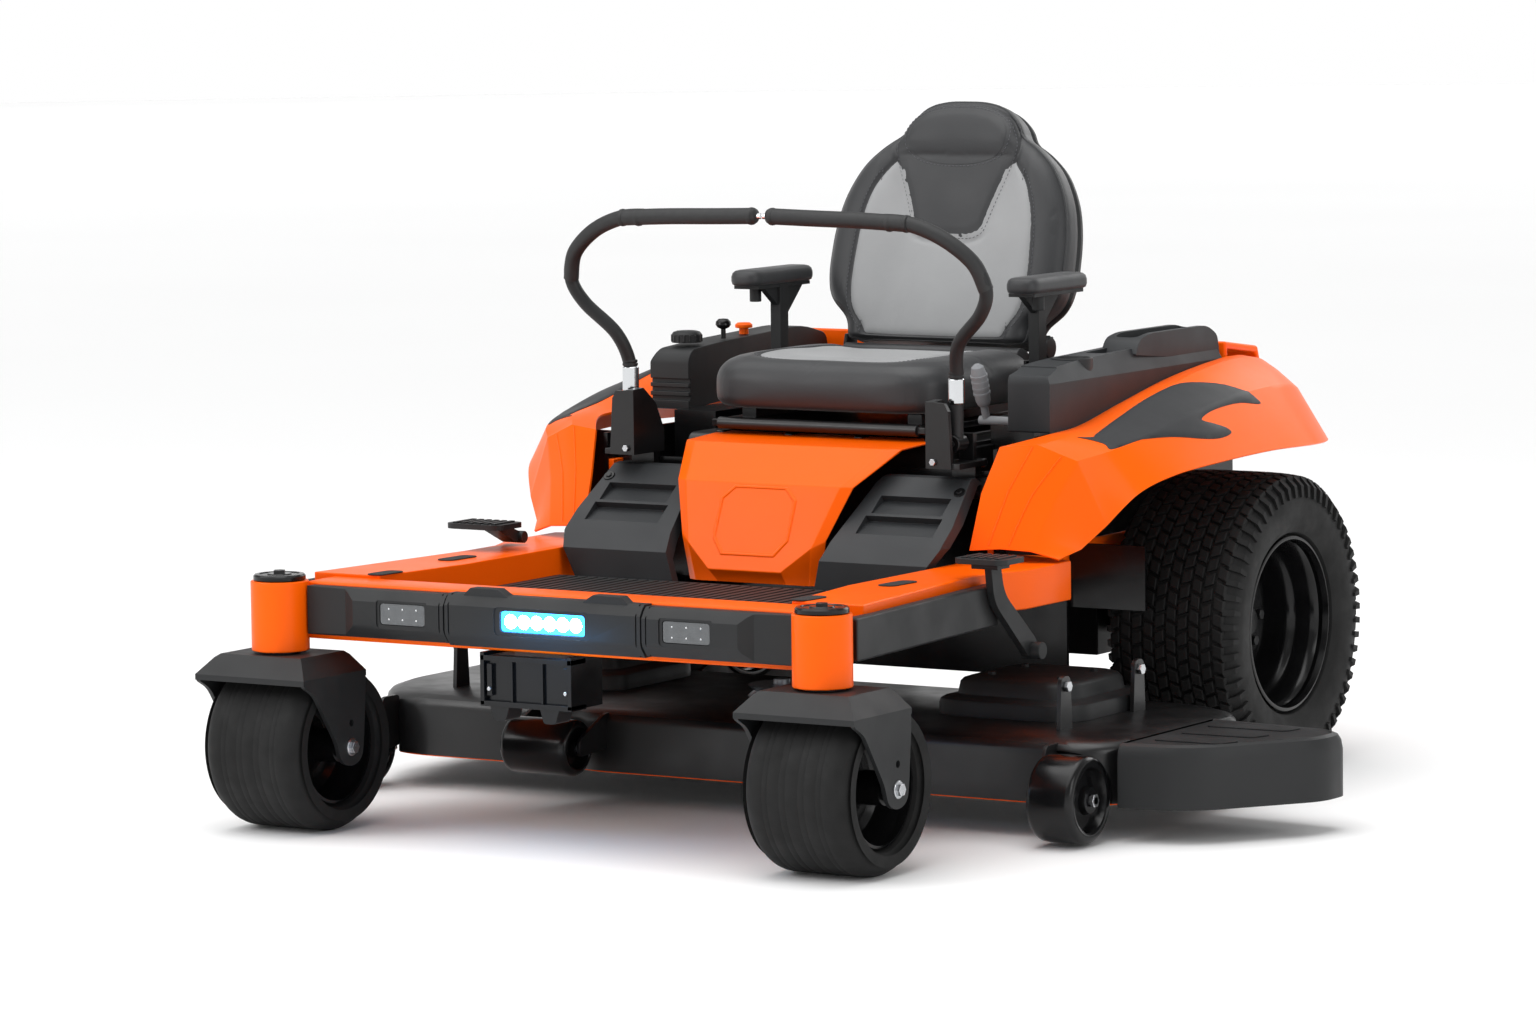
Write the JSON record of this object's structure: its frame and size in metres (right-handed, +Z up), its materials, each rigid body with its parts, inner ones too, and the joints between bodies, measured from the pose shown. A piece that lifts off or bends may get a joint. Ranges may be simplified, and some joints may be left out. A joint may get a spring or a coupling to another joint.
{
  "type": "zero turn mower",
  "caption": "Zero turn riding mower with free front casters, driven rear wheels, two lap-bar levers, a high-backed seat and a side-discharge deck with spinning blades.",
  "frame": {"origin": "on the ground, at the middle of the whole machine's footprint; the frame's own middle plane lies 140 mm to -X of it, because the discharge deflector sticks out on the left", "axes": "+Z up, the machine drives towards -Y, and the seated operator's left hand is at +X"},
  "size_m": [1.88, 1.9929, 1.2224],
  "materials": {
    "orange_paint": "gloss powder coat",
    "black_plastic": "fine-grained moulding",
    "grey_plastic": "fine-grained moulding",
    "black_steel": "satin powder coat",
    "engine_alloy": "black-painted casting",
    "grip_rubber": "soft-touch sleeve over painted tube",
    "tyre_rubber": "turf tread and smooth caster tread",
    "mat_rubber": "ribbed",
    "seat_vinyl": "grained vinyl with stitched seams",
    "blade_steel": "rolled and ground",
    "lamp_lens": "clear moulding over diodes",
    "pale_grip": "moulded grip"
  },
  "bodies": {
    "frame": {"front_beam": "orange_paint", "rail_left": "orange_paint", "rail_right": "orange_paint", "rear_guard": "black_steel", "bumper_centre": "black_plastic", "bumper_left": "black_plastic", "bumper_right": "black_plastic", "light_bar": "lamp_lens", "headlamp_left": "lamp_lens", "headlamp_right": "lamp_lens", "rail_cover_left": "black_plastic", "rail_cover_right": "black_plastic", "floor_pan": "mat_rubber", "cowl": "orange_paint", "rear_hood": "orange_paint", "step_panel_left": "grey_plastic", "step_panel_right": "grey_plastic", "fender_left": "orange_paint", "fender_right": "orange_paint", "fuel_tank": "grey_plastic", "control_console": "grey_plastic", "engine": "engine_alloy", "drive_axle": "engine_alloy", "battery_box": "black_plastic"},
    "rear_wheel_left": {"rear_tyre_left": "tyre_rubber", "rear_rim_left": "black_steel"},
    "caster_left": {"caster_fork_left": "black_steel"},
    "caster_wheel_left": {"caster_tyre_left": "tyre_rubber", "caster_rim_left": "black_steel"},
    "lever_pivot_left": {"lever_pivot_left": "black_steel"},
    "lever_left": {"lever_left": "grip_rubber"},
    "armrest_left": {"armrest_left": "black_plastic"},
    "rear_wheel_right": {"rear_tyre_right": "tyre_rubber", "rear_rim_right": "black_steel"},
    "caster_right": {"caster_fork_right": "black_steel"},
    "caster_wheel_right": {"caster_tyre_right": "tyre_rubber", "caster_rim_right": "black_steel"},
    "lever_pivot_right": {"lever_pivot_right": "black_steel"},
    "lever_right": {"lever_right": "grip_rubber"},
    "armrest_right": {"armrest_right": "black_plastic"},
    "seat": {"seat_pan": "black_steel", "seat_cushion": "seat_vinyl"},
    "backrest": {"backrest": "seat_vinyl"},
    "recline_knob": {"recline_knob": "black_plastic"},
    "deck": {"deck_shell": "black_steel", "deck_cover_left": "black_plastic", "deck_cover_right": "black_plastic"},
    "deflector": {"discharge_deflector": "black_plastic"},
    "blade_left": {"blade_left": "blade_steel"},
    "blade_centre": {"blade_centre": "blade_steel"},
    "blade_right": {"blade_right": "blade_steel"},
    "roller_left": {"roller_left": "black_plastic"},
    "roller_right": {"roller_right": "black_plastic"},
    "roller_centre": {"roller_centre": "black_plastic"},
    "deck_lift_pedal": {"deck_lift_pedal": "black_plastic"},
    "brake_pedal": {"brake_pedal": "black_plastic"},
    "parking_brake_lever": {"parking_brake_lever": "pale_grip"},
    "fuel_cap": {"fuel_cap": "black_plastic"},
    "throttle_lever": {"throttle_lever": "black_plastic"},
    "blade_switch": {"blade_switch": "orange_paint"}
  },
  "joints": [
    {"name": "rear_wheel_left_spin", "type": "hinge", "parent": "frame", "child": "rear_wheel_left", "pos_m": [0.435, 0.517, 0.275], "axis": [1, 0, 0], "continuous": true},
    {"name": "caster_left_swivel", "type": "hinge", "parent": "frame", "child": "caster_left", "pos_m": [0.41, -0.892, 0.312], "axis": [0, 0, 1], "continuous": true},
    {"name": "caster_wheel_left_spin", "type": "hinge", "parent": "caster_left", "child": "caster_wheel_left", "pos_m": [0.41, -0.849, 0.148], "axis": [1, 0, 0], "continuous": true},
    {"name": "lever_left_drive", "type": "hinge", "parent": "frame", "child": "lever_pivot_left", "pos_m": [0.202, -0.048, 0.56], "axis": [1, 0, 0], "range_deg": [-14, 14]},
    {"name": "lever_left_swing", "type": "hinge", "parent": "lever_pivot_left", "child": "lever_left", "pos_m": [0.202, -0.09, 0.642], "axis": [0, 1, 0], "range_deg": [0, 25]},
    {"name": "armrest_left_fold", "type": "hinge", "parent": "seat", "child": "armrest_left", "pos_m": [0.136, 0.319, 0.742], "axis": [-1, 0, 0], "range_deg": [0, 75]},
    {"name": "rear_wheel_right_spin", "type": "hinge", "parent": "frame", "child": "rear_wheel_right", "pos_m": [-0.715, 0.517, 0.275], "axis": [1, 0, 0], "continuous": true},
    {"name": "caster_right_swivel", "type": "hinge", "parent": "frame", "child": "caster_right", "pos_m": [-0.69, -0.892, 0.312], "axis": [0, 0, 1], "continuous": true},
    {"name": "caster_wheel_right_spin", "type": "hinge", "parent": "caster_right", "child": "caster_wheel_right", "pos_m": [-0.69, -0.849, 0.148], "axis": [1, 0, 0], "continuous": true},
    {"name": "lever_right_drive", "type": "hinge", "parent": "frame", "child": "lever_pivot_right", "pos_m": [-0.482, -0.048, 0.56], "axis": [1, 0, 0], "range_deg": [-14, 14]},
    {"name": "lever_right_swing", "type": "hinge", "parent": "lever_pivot_right", "child": "lever_right", "pos_m": [-0.482, -0.09, 0.642], "axis": [0, -1, 0], "range_deg": [0, 25]},
    {"name": "armrest_right_fold", "type": "hinge", "parent": "seat", "child": "armrest_right", "pos_m": [-0.416, 0.319, 0.742], "axis": [-1, 0, 0], "range_deg": [0, 75]},
    {"name": "seat_tilt", "type": "hinge", "parent": "frame", "child": "seat", "pos_m": [-0.14, 0.001, 0.652], "axis": [1, 0, 0], "range_deg": [0, 50]},
    {"name": "backrest_recline", "type": "hinge", "parent": "seat", "child": "backrest", "pos_m": [-0.14, 0.457, 0.768], "axis": [-1, 0, 0], "range_deg": [0, 14]},
    {"name": "recline_knob_turn", "type": "hinge", "parent": "seat", "child": "recline_knob", "pos_m": [0.079, 0.457, 0.768], "axis": [1, 0, 0], "continuous": true},
    {"name": "deck_lift", "type": "slide", "parent": "frame", "child": "deck", "axis": [0, 0, 1], "range_m": [0, 0.08]},
    {"name": "deflector_lift", "type": "hinge", "parent": "deck", "child": "deflector", "pos_m": [0.663, -0.163, 0.17], "axis": [0, -1, 0], "range_deg": [0, 75]},
    {"name": "blade_left_spin", "type": "hinge", "parent": "deck", "child": "blade_left", "pos_m": [0.36, -0.083, 0.084], "axis": [0, 0, 1], "continuous": true},
    {"name": "blade_centre_spin", "type": "hinge", "parent": "deck", "child": "blade_centre", "pos_m": [-0.14, -0.133, 0.084], "axis": [0, 0, 1], "continuous": true},
    {"name": "blade_right_spin", "type": "hinge", "parent": "deck", "child": "blade_right", "pos_m": [-0.64, -0.083, 0.084], "axis": [0, 0, 1], "continuous": true},
    {"name": "roller_left_spin", "type": "hinge", "parent": "deck", "child": "roller_left", "pos_m": [0.602, -0.413, 0.08], "axis": [1, 0, 0], "continuous": true},
    {"name": "roller_right_spin", "type": "hinge", "parent": "deck", "child": "roller_right", "pos_m": [-0.882, -0.413, 0.08], "axis": [1, 0, 0], "continuous": true},
    {"name": "roller_centre_spin", "type": "hinge", "parent": "deck", "child": "roller_centre", "pos_m": [-0.425, -0.468, 0.112], "axis": [1, 0, 0], "continuous": true},
    {"name": "deck_lift_pedal_push", "type": "hinge", "parent": "frame", "child": "deck_lift_pedal", "pos_m": [0.42, -0.219, 0.302], "axis": [1, 0, 0], "range_deg": [0, 7]},
    {"name": "brake_pedal_push", "type": "hinge", "parent": "frame", "child": "brake_pedal", "pos_m": [-0.632, -0.255, 0.455], "axis": [1, 0, 0], "range_deg": [0, 10], "stiffness_Nm_per_rad": 30, "springref_deg": -11.46},
    {"name": "parking_brake_pull", "type": "hinge", "parent": "frame", "child": "parking_brake_lever", "pos_m": [0.166, 0.079, 0.668], "axis": [-1, 0, 0], "range_deg": [0, 20]},
    {"name": "fuel_cap_turn", "type": "hinge", "parent": "frame", "child": "fuel_cap", "pos_m": [-0.562, 0.225, 0.776], "axis": [0, 0, 1], "continuous": true},
    {"name": "throttle_slide", "type": "slide", "parent": "frame", "child": "throttle_lever", "axis": [0, 1, 0], "range_m": [0, 0.04]},
    {"name": "blade_switch_pull", "type": "slide", "parent": "frame", "child": "blade_switch", "axis": [0, 0, 1], "range_m": [0, 0.012]}
  ],
  "couplings": [
    {"joint": "blade_left_spin", "follows": "blade_centre_spin", "ratio": 1},
    {"joint": "blade_right_spin", "follows": "blade_centre_spin", "ratio": 1},
    {"joint": "deck_lift_pedal_push", "follows": "deck_lift", "rad_per_m": 1.5256}
  ]
}
